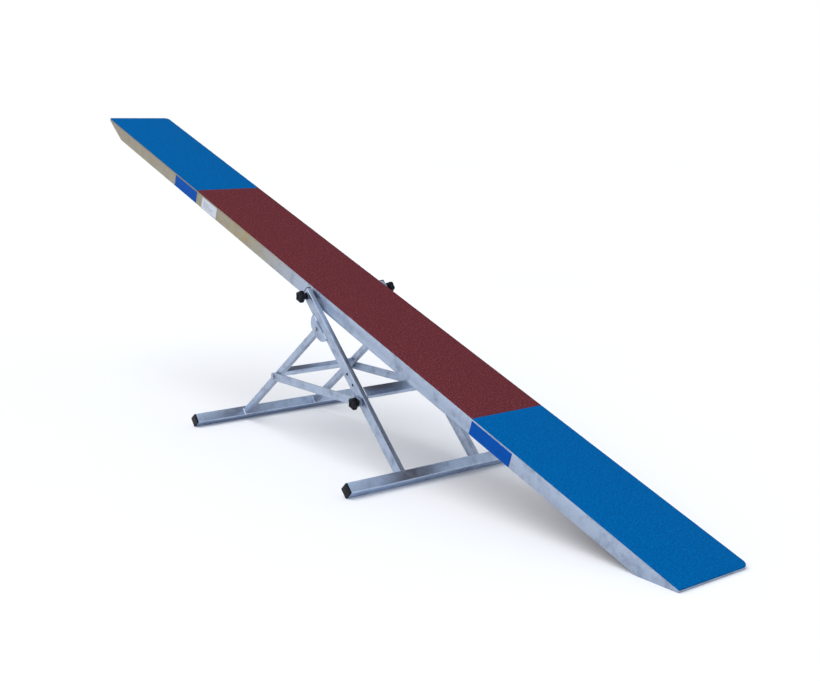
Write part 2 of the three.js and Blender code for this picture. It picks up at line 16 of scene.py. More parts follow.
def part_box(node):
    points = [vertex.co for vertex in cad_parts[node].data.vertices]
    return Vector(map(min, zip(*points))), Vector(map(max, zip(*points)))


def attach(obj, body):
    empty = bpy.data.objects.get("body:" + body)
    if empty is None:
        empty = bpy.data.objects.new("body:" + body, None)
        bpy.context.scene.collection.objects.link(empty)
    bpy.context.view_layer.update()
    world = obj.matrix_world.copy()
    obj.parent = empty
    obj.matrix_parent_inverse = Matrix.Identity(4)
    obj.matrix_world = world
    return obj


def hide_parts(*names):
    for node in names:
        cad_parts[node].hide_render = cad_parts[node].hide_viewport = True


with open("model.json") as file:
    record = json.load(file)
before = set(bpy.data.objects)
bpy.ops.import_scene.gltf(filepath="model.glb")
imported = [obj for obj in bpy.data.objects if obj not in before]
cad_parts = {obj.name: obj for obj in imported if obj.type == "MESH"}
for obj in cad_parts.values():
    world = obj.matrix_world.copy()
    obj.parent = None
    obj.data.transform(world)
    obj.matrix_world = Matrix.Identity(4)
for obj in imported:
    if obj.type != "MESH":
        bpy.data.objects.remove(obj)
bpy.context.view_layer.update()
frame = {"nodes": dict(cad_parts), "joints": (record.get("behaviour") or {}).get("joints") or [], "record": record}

# %% [markdown]
# Three pieces of the seesaw lean at their own angles, so each gets a matrix. A shape is drawn in
# plain, level coordinates and then carried into place. In the plank's own frame x runs towards the
# low end and the walking surface is at z = 0. In each leg's frame x runs along the leg.

# %% The three leaning frames
joints = {joint["name"]: joint for joint in frame["joints"]}
mounts = {mount["name"]: mount for mount in frame["record"]["mounts"]}

PIVOT = Vector(joints["plank_tilt"]["pos_m"])
HINGE = Vector(joints["base_fold"]["pos_m"])
SURFACE_MIDDLE = Vector(mounts["walking_surface"]["pos_m"])
UP_FROM_SURFACE = Vector(mounts["walking_surface"]["axis"])
TILT = Vector((0, 0, 1)).angle(UP_FROM_SURFACE)
FRONT_ANGLE = radians(43.9)
REAR_ANGLE = radians(38.3)

plank_frame = Matrix.Translation(SURFACE_MIDDLE) @ Matrix.Rotation(TILT, 4, "Y")
front_frame = Matrix.Translation(PIVOT) @ Matrix.Rotation(FRONT_ANGLE, 4, "Y")
rear_frame = Matrix.Translation(HINGE) @ Matrix.Rotation(-REAR_ANGLE, 4, "Y")
print("tilt in degrees:", round(TILT * 180 / pi, 2))

# %% [markdown]
# Every new piece ends the same way: its mesh is written, it is given its finish, its faces are
# smoothed up to a chosen crease angle, it is hung on the body it rides on, and the CAD nodes it
# stands for are hidden. One helper does all of that, so no piece can forget a step.

# %% A helper that finishes a piece
def finish_piece(name, mesh, body, material, nodes=(), crease=35):
    mesh_data = bpy.data.meshes.new(name)
    mesh.to_mesh(mesh_data)
    mesh.free()
    mesh_data.materials.append(material)
    mesh_data.polygons.foreach_set("use_smooth", [True] * len(mesh_data.polygons))
    mesh_data.set_sharp_from_angle(angle=radians(crease))
    piece = bpy.data.objects.new(name, mesh_data)
    bpy.context.scene.collection.objects.link(piece)
    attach(piece, body)
    if nodes:
        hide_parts(*nodes)
    return piece


def body_of_node(node):
    return next(body for body, members in bodies.items() if node in members)


bodies = frame["record"]["behaviour"]["bodies"]
print("bodies:", sorted(bodies))

# %% [markdown]
# ## Finishes
# Real surfaces are never one flat colour. Each finish here mixes two or three close colours by a
# procedural mask, and a little bump catches the light. The masks that several finishes share are
# node groups with named sockets, so that one recipe serves every metal.

# %% Helpers for materials
def colour(red, green, blue):
    def linear(value):
        value /= 255
        return value / 12.92 if value <= 0.04045 else ((value + 0.055) / 1.055) ** 2.4

    return (linear(red), linear(green), linear(blue), 1)


def start_group(name, inputs, outputs):
    group = bpy.data.node_groups.new(name, "ShaderNodeTree")
    for label, kind, value in inputs:
        socket = group.interface.new_socket(label, in_out="INPUT", socket_type=kind)
        if value is not None:
            socket.default_value = value
    for label in outputs:
        group.interface.new_socket(label, in_out="OUTPUT", socket_type="NodeSocketFloat")
    enter = group.nodes.new("NodeGroupInput")
    leave = group.nodes.new("NodeGroupOutput")
    return group, enter, leave


def add_noise(tree, vector, scale, detail=4, roughness=0.55):
    texture = tree.nodes.new("ShaderNodeTexNoise")
    texture.inputs["Scale"].default_value = scale
    texture.inputs["Detail"].default_value = detail
    texture.inputs["Roughness"].default_value = roughness
    tree.links.new(vector, texture.inputs["Vector"])
    return texture.outputs["Fac"]


def add_band(tree, value, low, high):
    band = tree.nodes.new("ShaderNodeMapRange")
    band.interpolation_type = "SMOOTHSTEP"
    band.inputs["From Min"].default_value = low
    band.inputs["From Max"].default_value = high
    tree.links.new(value, band.inputs["Value"])
    return band.outputs["Result"]


def add_maths(tree, operation, first, second):
    maths = tree.nodes.new("ShaderNodeMath")
    maths.operation = operation
    for socket, value in zip(maths.inputs, (first, second)):
        if isinstance(value, (int, float)):
            socket.default_value = value
        else:
            tree.links.new(value, socket)
    return maths.outputs[0]


def add_mix(tree, mask, first, second):
    mix = tree.nodes.new("ShaderNodeMix")
    mix.data_type = "RGBA"
    tree.links.new(mask, mix.inputs[0])
    for socket, value in ((mix.inputs[6], first), (mix.inputs[7], second)):
        if isinstance(value, tuple):
            socket.default_value = value
        else:
            tree.links.new(value, socket)
    return mix.outputs[2]


def add_bump(tree, height, shader, strength, distance):
    bump = tree.nodes.new("ShaderNodeBump")
    bump.inputs["Strength"].default_value = strength
    bump.inputs["Distance"].default_value = distance
    tree.links.new(height, bump.inputs["Height"])
    tree.links.new(bump.outputs["Normal"], shader.inputs["Normal"])


def start_material(name, roughness, metallic=0.0, turn=(0, 0, 0)):
    material = bpy.data.materials.new(name)
    material.use_nodes = True
    tree = material.node_tree
    shader = tree.nodes["Principled BSDF"]
    shader.inputs["Roughness"].default_value = roughness
    shader.inputs["Metallic"].default_value = metallic
    place = tree.nodes.new("ShaderNodeTexCoord")
    mapping = tree.nodes.new("ShaderNodeMapping")
    mapping.inputs["Rotation"].default_value = turn
    tree.links.new(place.outputs["Object"], mapping.inputs["Vector"])
    return material, tree, shader, mapping.outputs["Vector"]


def use_group(tree, group, vector, **values):
    node = tree.nodes.new("ShaderNodeGroup")
    node.node_tree = group
    tree.links.new(vector, node.inputs["Vector"])
    for label, value in values.items():
        node.inputs[label].default_value = value
    return node


print("material helpers ready")

# %% [markdown]
# **Granulate.** The walking surface is crumbs of rubber, one or two millimetres across, glued
# down at random. A Voronoi texture is made for this: its cells are the crumbs, a random value per
# cell picks lighter and darker ones, and the distance to a cell's middle gives each a round top.
# A broad noise adds the slow patches where the glue or the dust lies thicker.

# %% The shared granulate group
granulate_group, enter, leave = start_group(
    "granulate",
    [("Vector", "NodeSocketVector", None), ("Crumbs", "NodeSocketFloat", 420.0)],
    ["Crumb", "Patch", "Height"])
cells = granulate_group.nodes.new("ShaderNodeTexVoronoi")
granulate_group.links.new(enter.outputs["Vector"], cells.inputs["Vector"])
granulate_group.links.new(enter.outputs["Crumbs"], cells.inputs["Scale"])
split = granulate_group.nodes.new("ShaderNodeSeparateColor")
granulate_group.links.new(cells.outputs["Color"], split.inputs["Color"])
granulate_group.links.new(split.outputs["Red"], leave.inputs["Crumb"])
patches = add_noise(granulate_group, enter.outputs["Vector"], 14, detail=6, roughness=0.7)
granulate_group.links.new(add_band(granulate_group, patches, 0.35, 0.68), leave.inputs["Patch"])
round_tops = add_maths(granulate_group, "SUBTRACT", 1.0, cells.outputs["Distance"])
granulate_group.links.new(round_tops, leave.inputs["Height"])
print("group:", granulate_group.name)

# %% Two colours of rubber granulate
def make_granulate(name, dark, middle, light):
    material, tree, shader, place = start_material(name, 0.93, turn=(0, -TILT, 0))
    shader.inputs["Specular IOR Level"].default_value = 0.02
    crumbs = use_group(tree, granulate_group, place)
    speckled = add_mix(tree, crumbs.outputs["Crumb"], dark, light)
    mostly_middle = add_mix(
        tree, add_band(tree, crumbs.outputs["Patch"], 0.0, 1.0), middle, speckled)
    coarse = add_noise(tree, place, 170, detail=3, roughness=0.75)
    grain = add_mix(tree, add_band(tree, coarse, 0.4, 0.62), dark, mostly_middle)
    tree.links.new(grain, shader.inputs["Base Color"])
    add_bump(tree, crumbs.outputs["Height"], shader, 0.5, 0.0012)
    return material


blue_granulate = make_granulate(
    "blue_granulate", colour(0, 84, 148), colour(0, 103, 172), colour(0, 116, 186))
red_granulate = make_granulate(
    "red_granulate", colour(90, 38, 44), colour(114, 54, 61), colour(134, 70, 76))
print("rubber:", blue_granulate.name, red_granulate.name)

# %% [markdown]
# ** Aluminium.** Extruded tube leaves the press with fine lines along its length, and years of
# handling add cloudy stains and small dark specks. The lines come from a noise that is stretched
# along the piece, so the coordinates are first turned to lie with it. The group hands over two
# masks, stains and specks, and a height for the bump. It serves rails, legs, bars and plates. The
# rails also turn khaki towards the high end, with yellow blotches on one stretch of it: a painted
# reflection of the warm surroundings, not a colour of the metal.

# %% The shared weathered metal group
metal_group, enter, leave = start_group(
    "weathered_metal",
    [("Vector", "NodeSocketVector", None), ("Stretch", "NodeSocketVector", None)],
    ["Stain", "Speck", "Height"])
stretch = metal_group.nodes.new("ShaderNodeVectorMath")
stretch.operation = "MULTIPLY"
metal_group.links.new(enter.outputs["Vector"], stretch.inputs[0])
metal_group.links.new(enter.outputs["Stretch"], stretch.inputs[1])
lines = add_noise(metal_group, stretch.outputs["Vector"], 1, detail=3, roughness=0.6)
clouds = add_noise(metal_group, enter.outputs["Vector"], 17, detail=7, roughness=0.68)
metal_group.links.new(add_band(metal_group, clouds, 0.42, 0.72), leave.inputs["Stain"])
specks = add_noise(metal_group, enter.outputs["Vector"], 95, detail=5, roughness=0.8)
metal_group.links.new(add_band(metal_group, specks, 0.6, 0.72), leave.inputs["Speck"])
rough_height = add_maths(metal_group, "ADD", lines, add_maths(metal_group, "MULTIPLY", clouds, 0.6))
metal_group.links.new(rough_height, leave.inputs["Height"])
print("group:", metal_group.name)

# %% Aluminium for each kind of piece
ALONG_X = (6, 700, 700)
ALONG_Y = (700, 6, 700)
SPECK_STRENGTH = 0.45
STAIN_DULLNESS = 0.22
# where along the rail the painted reflection turns it khaki, and where it adds yellow blotches
REFLECTION_FROM, REFLECTION_TO = -0.15, -0.75
YELLOW_REFLECTION_FROM, YELLOW_REFLECTION_TO = -0.85, -1.25


def make_aluminium(name, turn, stretch_by, roughness, clean, stained, reflection_tint=None):
    material, tree, shader, place = start_material(name, roughness, metallic=1.0, turn=turn)
    metal = use_group(tree, metal_group, place, Stretch=stretch_by)
    base = add_mix(tree, metal.outputs["Stain"], clean, stained)
    # painted reflection: towards the high end the rail is mixed to khaki, with yellow blotches on one stretch
    if reflection_tint:
        axes = tree.nodes.new("ShaderNodeSeparateXYZ")
        tree.links.new(place, axes.inputs["Vector"])
        reflection_blotches = add_band(tree, add_noise(tree, place, 26, detail=5, roughness=0.7), 0.5, 0.64)
        yellow_reflection_zone = add_band(tree, axes.outputs["X"], YELLOW_REFLECTION_TO, YELLOW_REFLECTION_FROM)
        reflected_colour = add_mix(tree, add_maths(tree, "MULTIPLY", reflection_blotches, yellow_reflection_zone), reflection_tint, YELLOW_REFLECTION)
        reflection_zone = add_band(tree, axes.outputs["X"], REFLECTION_FROM, REFLECTION_TO)
        base = add_mix(tree, reflection_zone, base, reflected_colour)
    dark_specks = add_maths(tree, "MULTIPLY", metal.outputs["Speck"], SPECK_STRENGTH)
    base = add_mix(tree, dark_specks, base, colour(84, 88, 98))
    tree.links.new(base, shader.inputs["Base Color"])
    duller = add_maths(tree, "MULTIPLY", metal.outputs["Stain"], STAIN_DULLNESS)
    tree.links.new(add_maths(tree, "ADD", duller, roughness), shader.inputs["Roughness"])
    add_bump(tree, metal.outputs["Height"], shader, 0.12, 0.0006)
    return material


CLEAN = colour(170, 183, 203)
STAINED = colour(146, 158, 178)
BAR_CLEAN = colour(188, 205, 230)
BAR_STAINED = colour(160, 174, 198)
# colours of the painted reflection on the rail's high end: khaki, and yellow for the blotches
WARM_REFLECTION = colour(160, 152, 134)
YELLOW_REFLECTION = colour(166, 150, 104)
metals = {
    "rail": make_aluminium(
        "rail_aluminium", (0, -TILT, 0), ALONG_X, 0.42, CLEAN, STAINED, reflection_tint=WARM_REFLECTION),
    "front": make_aluminium(
        "front_leg_aluminium", (0, -FRONT_ANGLE, 0), ALONG_X, 0.42, CLEAN, STAINED),
    "rear": make_aluminium(
        "rear_leg_aluminium", (0, REAR_ANGLE, 0), ALONG_X, 0.4, CLEAN, STAINED),
    "level": make_aluminium("brace_aluminium", (0, 0, 0), ALONG_X, 0.4, CLEAN, STAINED),
    "bar": make_aluminium(
        "bar_aluminium", (0, 0, 0), ALONG_Y, 0.3, BAR_CLEAN, BAR_STAINED),
}
print("metals:", sorted(metals))

# %% [markdown]
# **Steel, welds, plastic and film.** Zinc-plated bolts are a little darker and bluer than the
# tube. A weld is bright, rippled metal, so it gets a strong bump. The knobs and end plugs are
# black moulded plastic with a fine grain and pale dust in it. The bands and the label are
# self-adhesive film.

# %% The small finishes
def make_grained(name, roughness, metallic, plain, marked, scale, bump, specular=0.5):
    material, tree, shader, place = start_material(name, roughness, metallic=metallic)
    shader.inputs["Specular IOR Level"].default_value = specular
    broad = add_noise(tree, place, scale, detail=6, roughness=0.7)
    fine = add_noise(tree, place, scale * 14, detail=3)
    tree.links.new(
        add_mix(tree, add_band(tree, broad, 0.5, 0.78), plain, marked), shader.inputs["Base Color"])
    worn = add_maths(tree, "MULTIPLY", add_band(tree, broad, 0.4, 0.8), 0.18)
    tree.links.new(add_maths(tree, "ADD", worn, roughness), shader.inputs["Roughness"])
    add_bump(tree, fine, shader, bump, 0.0005)
    return material


zinc = make_grained(
    "zinc_plated_steel", 0.28, 1.0, colour(168, 174, 184), colour(120, 122, 126), 90, 0.1)
weld_metal = make_grained(
    "weld_metal", 0.3, 1.0, colour(224, 230, 238), colour(150, 152, 158), 160, 0.4)
black_plastic = make_grained(
    "black_moulded_plastic", 0.42, 0.0, colour(10, 13, 22), colour(24, 28, 38), 60, 0.25,
    specular=0.15)
blue_film = make_grained(
    "blue_film", 0.5, 0.0, colour(0, 74, 158), colour(0, 60, 132), 25, 0.05, specular=0.04)
white_film = make_grained(
    "white_film", 0.4, 0.0, colour(190, 196, 208), colour(168, 172, 182), 30, 0.05, specular=0.2)
grey_print = make_grained(
    "grey_print", 0.45, 0.0, colour(150, 156, 168), colour(176, 180, 188), 60, 0.05)
print("small finishes ready")

# %% [markdown]
# ## The metal pieces
# The CAD already holds each tube's exact shape, cut ends and holes, but with edges that no real
# saw leaves. A copy of the mesh is merged, its flat triangles are dissolved into whole faces, and
# the sharp edges are bevelled by a fraction of a millimetre. That thin round is what draws the
# bright line along a real tube.

# %% Soften a copy of a CAD node
def softened(node, width, segments=2):
    mesh = bmesh.new()
    mesh.from_mesh(frame["nodes"][node].data)
    bmesh.ops.remove_doubles(mesh, verts=mesh.verts, dist=0.00002)
    bmesh.ops.dissolve_limit(
        mesh, angle_limit=radians(0.5), verts=mesh.verts, edges=mesh.edges, use_dissolve_boundaries=False)
    sharp = [
        edge for edge in mesh.edges
        if len(edge.link_faces) == 2 and edge.calc_face_angle() > radians(40)]
    bmesh.ops.bevel(
        mesh, geom=sharp, offset=width, offset_type="OFFSET", segments=segments, profile=0.5,
        affect="EDGES", material=-1, clamp_overlap=True)
    return mesh


def soften_node(node, width, material, label="body", segments=2):
    mesh = softened(node, width, segments)
    return finish_piece(
        f"{node}_{label}", mesh, body_of_node(node), material, [node])


print("softening helper ready")

# %% Rails, nose bars, ribs and deck sheet
for side in ("near", "far"):
    soften_node(f"rail_{side}", 0.0006, metals["rail"], "tube")
for end in ("low", "high"):
    soften_node(f"nose_bar_{end}", 0.0008, metals["rail"], "bar")
for number in range(1, 5):
    soften_node(f"deck_rib_{number}", 0.0005, metals["bar"], "tube")
deck = soften_node("deck_sheet", 0.0006, metals["rail"], "plate")
soften_node("axle_tube", 0.0006, zinc, "tube")
print("plank metal softened")

# %% [markdown]
# The underside of the deck is given a dull dark brown, as painted shade. It hardly shows by itself,
# but the smooth faces of the legs and bars below mirror it, which is why they look darker than
# their sides. The downward faces of the deck get it as a second material.

# %% Painted shade on the deck's underside
# painted shade: a dark brown for the deck's downward faces, mirrored by the legs and bars below
underside_shade = make_grained(
    "underside_painted_shade", 0.8, 0.0, colour(112, 92, 88), colour(86, 74, 74), 12, 0.2, specular=0.2)
deck.data.materials.append(underside_shade)
for face in deck.data.polygons:
    if face.normal.dot(UP_FROM_SURFACE) < -0.9:
        face.material_index = 1
print("coated faces:", sum(face.material_index for face in deck.data.polygons))

# %% Legs, bars, plates and braces
for side in ("near", "far"):
    soften_node(f"front_leg_{side}", 0.0006, metals["front"], "tube")
    soften_node(f"rear_leg_{side}", 0.0006, metals["rear"], "tube")
    soften_node(f"brace_{side}", 0.001, metals["level"], "bar")
    for layer in ("inner", "outer"):
        soften_node(f"hinge_plate_{layer}_{side}", 0.0009, metals["front"], "cheek")
for bar in ("front_floor_bar", "rear_floor_bar", "front_crossbar", "rear_crossbar"):
    soften_node(bar, 0.0006, metals["bar"], "tube")
print("trestle softened")

# %% Bolts, nuts, studs, washers and spacers
for side in ("near", "far"):
    for fitting in ("hinge_bolt", "hinge_nut", "brace_bolt", "brace_spacer", "brace_stud",
                    "brace_washer", "pivot_stud", "pivot_washer"):
        soften_node(f"{fitting}_{side}", 0.0005, zinc, "steel")
print("fittings softened")

# %% [markdown]
# ## The rubber covering
# Three strips of granulate are glued on the deck, blue at the contact zones and red-brown between
# them. Each strip starts as a cube stretched to size. Slices along it let the trimmed sides waver
# by a fraction of a millimetre, as a knife leaves them, and the top edge is rounded because the
# crumbs wear off there. The far corner of each end is cut round.

# %% A strip of granulate
HALF_WIDTH = 0.1485
RUBBER_THICKNESS = 0.005
HALF_LENGTH = 1.8485
COLOUR_LINE = 0.95
CORNER_RADIUS = 0.0205
WAVER = 0.0005
SLICE_LENGTH = 0.03
RIM_ROUNDING = 0.0016
NEARLY = 0.001


def rubber_strip(name, node, from_x, to_x, material):
    mesh = bmesh.new()
    length = to_x - from_x
    bmesh.ops.create_cube(mesh, size=1)
    bmesh.ops.scale(mesh, vec=(length, 2 * HALF_WIDTH, RUBBER_THICKNESS), verts=mesh.verts)
    bmesh.ops.translate(
        mesh, vec=((from_x + to_x) / 2, 0, -RUBBER_THICKNESS / 2), verts=mesh.verts)
    corners = [
        edge for edge in mesh.edges
        if all(abs(v.co.x) > HALF_LENGTH - NEARLY and v.co.y > 0 for v in edge.verts)
        and abs(edge.verts[0].co.z - edge.verts[1].co.z) > NEARLY]
    if corners:
        bmesh.ops.bevel(
            mesh, geom=corners, offset=CORNER_RADIUS, offset_type="OFFSET", segments=8,
            profile=0.5, affect="EDGES", material=-1)
    slices = round(length / SLICE_LENGTH)
    for number in range(1, slices):
        cut = (from_x + length * number / slices, 0, 0)
        bmesh.ops.bisect_plane(
            mesh, geom=mesh.verts[:] + mesh.edges[:] + mesh.faces[:], plane_co=cut,
            plane_no=(1, 0, 0))
    for vertex in mesh.verts:
        if abs(vertex.co.y) > HALF_WIDTH - NEARLY:
            drift = noise.noise(Vector((vertex.co.x * 23, vertex.co.y * 40, 0)))
            vertex.co.y += WAVER * drift
    rim = [
        edge for edge in mesh.edges
        if len(edge.link_faces) == 2 and edge.calc_face_angle() > radians(60)
        and all(v.co.z > -NEARLY for v in edge.verts)]
    bmesh.ops.bevel(
        mesh, geom=rim, offset=RIM_ROUNDING, offset_type="OFFSET", segments=3, profile=0.5,
        affect="EDGES", material=-1)
    bmesh.ops.transform(mesh, matrix=plank_frame, verts=mesh.verts)
    bmesh.ops.recalc_face_normals(mesh, faces=mesh.faces)
    piece = finish_piece(name, mesh, "plank", material, [node], crease=50)
    print(name, "faces:", len(piece.data.polygons))


# %% Lay the three strips
SEAM = 0.00015
rubber_strip("granulate_low", "rubber_low", COLOUR_LINE + SEAM, HALF_LENGTH, blue_granulate)
rubber_strip(
    "granulate_middle", "rubber_middle", SEAM - COLOUR_LINE, COLOUR_LINE - SEAM, red_granulate)
rubber_strip("granulate_high", "rubber_high", -HALF_LENGTH, -COLOUR_LINE - SEAM, blue_granulate)

# %% [markdown]
# ## Bands and label
# A royal-blue band of film marks each colour change on the sides of the rails, and one white
# label sits on the near side. The film keeps its CAD shape. The print on the label is plain rules
# of different lengths, a hair proud of it, which say nothing.

# %% Film pieces
for end in ("low", "high"):
    for side in ("near", "far"):
        soften_node(f"side_band_{end}_{side}", 0.0001, blue_film, "film", segments=1)
soften_node("side_label", 0.0001, white_film, "film", segments=1)

# %% The label's rules
LABEL_FACE_Y = -0.1507
RULE_START = -0.885
RULE_LENGTHS = (0.05, 0.085, 0.07)
RULE_PROUD = 0.0002
RULE_HEIGHT = 0.0035
FIRST_RULE_Z = -0.026
RULE_SPACING = 0.009
rules = bmesh.new()
for row, length in enumerate(RULE_LENGTHS):
    made = bmesh.ops.create_cube(rules, size=1)["verts"]
    bmesh.ops.scale(rules, vec=(length, RULE_PROUD, RULE_HEIGHT), verts=made)
    middle = (
        RULE_START + length / 2, LABEL_FACE_Y - RULE_PROUD / 2, FIRST_RULE_Z - RULE_SPACING * row)
    bmesh.ops.translate(rules, vec=middle, verts=made)
bmesh.ops.transform(rules, matrix=plank_frame, verts=rules.verts)
finish_piece("side_label_rules", rules, "plank", grey_print)
print("label printed")

# %% [markdown]
# ## Knobs
# Each hand knob is a five-lobed head moulded on a slim hub, which flares to a collar where it
# bears on its washer. A circle is pushed in and out by a cosine to make the lobes, extruded to
# its thickness, and its rims are bevelled so wide that the head is almost a cushion. The outer
# face is inset and sunk a little round a domed middle, as the mould leaves it.

# %% A star knob on its hub
KNOB_RADIUS = 0.0235
KNOB_LOBES = 5
LOBE_DEPTH = 0.002
HUB_RADIUS = 0.008
COLLAR_RADIUS = 0.0135
COLLAR_LENGTH = 0.0025
CUSHION = 0.0082
RING_WIDTH = 0.0035
SUNK_BY = 0.0012
DOME_HEIGHT = 0.0009


def lay_along_y(mesh, verts, start_y, sign, centre):
    turn = Matrix.Rotation(-pi / 2 * sign, 4, "X")
    place = Matrix.Translation((centre.x, sign * start_y, centre.z))
    bmesh.ops.transform(mesh, matrix=place @ turn, verts=verts)


def knob_mesh(hub_y, head_y, end_y, sign, centre):
    mesh = bmesh.new()
    made = bmesh.ops.create_circle(mesh, cap_ends=True, radius=KNOB_RADIUS, segments=80)["verts"]
    for vertex in made:
        angle = vertex.co.to_2d().angle_signed(Vector((1, 0)))
        reach = KNOB_RADIUS - LOBE_DEPTH * (1 - cos(KNOB_LOBES * angle))
        vertex.co = vertex.co.normalized() * reach
    base = mesh.faces[:]
    grown = bmesh.ops.extrude_face_region(mesh, geom=base)["geom"]
    top_verts = [item for item in grown if isinstance(item, bmesh.types.BMVert)]
    bmesh.ops.translate(mesh, vec=(0, 0, end_y - head_y), verts=top_verts)
    bmesh.ops.recalc_face_normals(mesh, faces=mesh.faces)
    rims = [
        edge for edge in mesh.edges
        if edge.calc_face_angle(0) > radians(60)]
    bmesh.ops.bevel(
        mesh, geom=rims, offset=CUSHION, offset_type="OFFSET", segments=7, profile=0.5,
        affect="EDGES", material=-1)
    outer = max(mesh.faces, key=lambda face: (face.calc_center_median().z, face.calc_area()))
    bmesh.ops.inset_individual(mesh, faces=[outer], thickness=RING_WIDTH)
    bmesh.ops.inset_individual(mesh, faces=[outer], thickness=0.0006, depth=-SUNK_BY)
    bmesh.ops.inset_individual(mesh, faces=[outer], thickness=0.003, depth=DOME_HEIGHT)
    lay_along_y(mesh, mesh.verts[:], head_y, sign, centre)
    hub_length = head_y - hub_y
    for radius, tip_radius, length in (
            (HUB_RADIUS, HUB_RADIUS * 1.1, hub_length + 0.001),
            (COLLAR_RADIUS, COLLAR_RADIUS * 0.86, COLLAR_LENGTH)):
        hub = bmesh.ops.create_cone(
            mesh, cap_ends=True, segments=40, radius1=radius, radius2=tip_radius,
            depth=length)["verts"]
        bmesh.ops.translate(mesh, vec=(0, 0, length / 2), verts=hub)
        lay_along_y(mesh, hub, hub_y, sign, centre)
    bmesh.ops.recalc_face_normals(mesh, faces=mesh.faces)
    return mesh


def along_y(node):
    low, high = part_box(node)
    inner, outer = sorted((abs(low.y), abs(high.y)))
    return inner, outer, (low + high) / 2


# %% Place the four knobs
HEAD_LENGTH = 0.022
for kind in ("pivot", "brace"):
    for side, sign in (("near", -1), ("far", 1)):
        node = f"{kind}_knob_{side}"
        inner_y, outer_y, _ = along_y(node)
        centre = Vector(joints[f"{kind}_knob_turn_{side}"]["pos_m"])
        mesh = knob_mesh(inner_y, outer_y - HEAD_LENGTH, outer_y, sign, centre)
        finish_piece(
            f"{node}_star", mesh, body_of_node(node), black_plastic, [node], crease=40)
print("knobs placed")

# %% [markdown]
# ## Plastic plugs
# Every open tube end is closed by a black plug. Its visible head is a plate as wide as the tube,
# with rounded rims and a slight crown. The CAD shape is right, so a wider bevel than the metal's
# is enough to make it look moulded. The bushes between plank and legs get the same.

# %% Plugs and bushes
for side in ("near", "far"):
    for bar in ("front", "rear"):
        soften_node(f"{bar}_bar_cap_{side}", 0.0013, black_plastic, "plug", segments=3)
    soften_node(f"leg_cap_{side}", 0.001, black_plastic, "plug", segments=3)
    soften_node(f"pivot_bush_{side}", 0.0006, black_plastic, "bush")
print("plugs fitted")

# %% [markdown]
# ## Welds
# The trestle is welded where its tubes meet. A weld bead is a row of overlapping drops, each
# frozen before the next. Small spheres laid in a row with a step shorter than their width give
# the same ripple when light runs along them.

# %% A row of weld drops
def weld_row(mesh, start, end, radius, matrix):
    run = end - start
    drops = max(3, round(run.length / (radius * 0.9)))
    for number in range(drops + 1):
        size = radius * (1 + 0.12 * noise.noise(Vector((number * 1.7, start.x * 31, start.y * 17))))
        made = bmesh.ops.create_uvsphere(mesh, u_segments=10, v_segments=6, radius=size)["verts"]
        bmesh.ops.translate(mesh, vec=start + run * number / drops, verts=made)
        bmesh.ops.transform(mesh, matrix=matrix, verts=made)


def ring_of_welds(mesh, corners, radius, matrix):
    for start, end in zip(corners, corners[1:]):
        weld_row(mesh, Vector(start), Vector(end), radius, matrix)


WELD_RADIUS = 0.0022
THIN_WELD_RADIUS = WELD_RADIUS * 0.8
LEG_FACES = (0.158, 0.178)
CROSSBAR_END_Y = 0.1575
CROSSBAR_HALF_DEPTH = 0.019
BAR_WELD_REACH = 0.0205


# three sides of a crossbar's end; the bottom and top are heights in the leg's frame
def weld_crossbar(mesh, x, sign, bottom, top, matrix):
    y = sign * CROSSBAR_END_Y
    before = x - CROSSBAR_HALF_DEPTH
    after = x + CROSSBAR_HALF_DEPTH
    corners = [(before, y, bottom), (before, y, top), (after, y, top), (after, y, bottom)]
    ring_of_welds(mesh, corners, THIN_WELD_RADIUS, matrix)


print("weld helpers ready")

# %% Welds of the front frame
front_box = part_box("front_floor_bar")
bar_centre = front_frame.inverted() @ Vector(
    ((front_box[0].x + front_box[1].x) / 2, 0, (front_box[0].z + front_box[1].z) / 2))
bar_top_x = bar_centre.x - BAR_WELD_REACH
bar_back_z = bar_centre.z - BAR_WELD_REACH
LEG_WELD_Z = 0.019
FRONT_CROSSBAR_X = 0.452
for side, sign in (("near", -1), ("far", 1)):
    inner, outer = (sign * face for face in LEG_FACES)
    mesh = bmesh.new()
    ring_of_welds(mesh, [
        (bar_top_x, inner, bar_back_z), (bar_top_x, inner, LEG_WELD_Z),
        (bar_top_x, outer, LEG_WELD_Z), (bar_top_x, outer, bar_back_z)], WELD_RADIUS, front_frame)
    weld_crossbar(mesh, FRONT_CROSSBAR_X, sign, 0.001, 0.019, front_frame)
    finish_piece(f"front_welds_{side}", mesh, "front_frame", weld_metal)
print("front frame welded")

# %% Welds of the rear frame
rear_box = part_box("rear_floor_bar")
bar_centre = rear_frame.inverted() @ Vector(
    ((rear_box[0].x + rear_box[1].x) / 2, 0, (rear_box[0].z + rear_box[1].z) / 2))
foot_x = bar_centre.x + BAR_WELD_REACH
REAR_HALF_DEPTH = 0.0125
REAR_CROSSBAR_X = -0.3445
for side, sign in (("near", -1), ("far", 1)):
    inner, outer = (sign * face for face in LEG_FACES)
    mesh = bmesh.new()
    ring_of_welds(mesh, [
        (foot_x, inner, -REAR_HALF_DEPTH), (foot_x, inner, REAR_HALF_DEPTH),
        (foot_x, outer, REAR_HALF_DEPTH), (foot_x, outer, -REAR_HALF_DEPTH),
        (foot_x, inner, -REAR_HALF_DEPTH)], WELD_RADIUS, rear_frame)
    weld_crossbar(mesh, REAR_CROSSBAR_X, sign, -0.0095, 0.0095, rear_frame)
    finish_piece(f"rear_welds_{side}", mesh, "rear_frame", weld_metal)
print("rear frame welded")

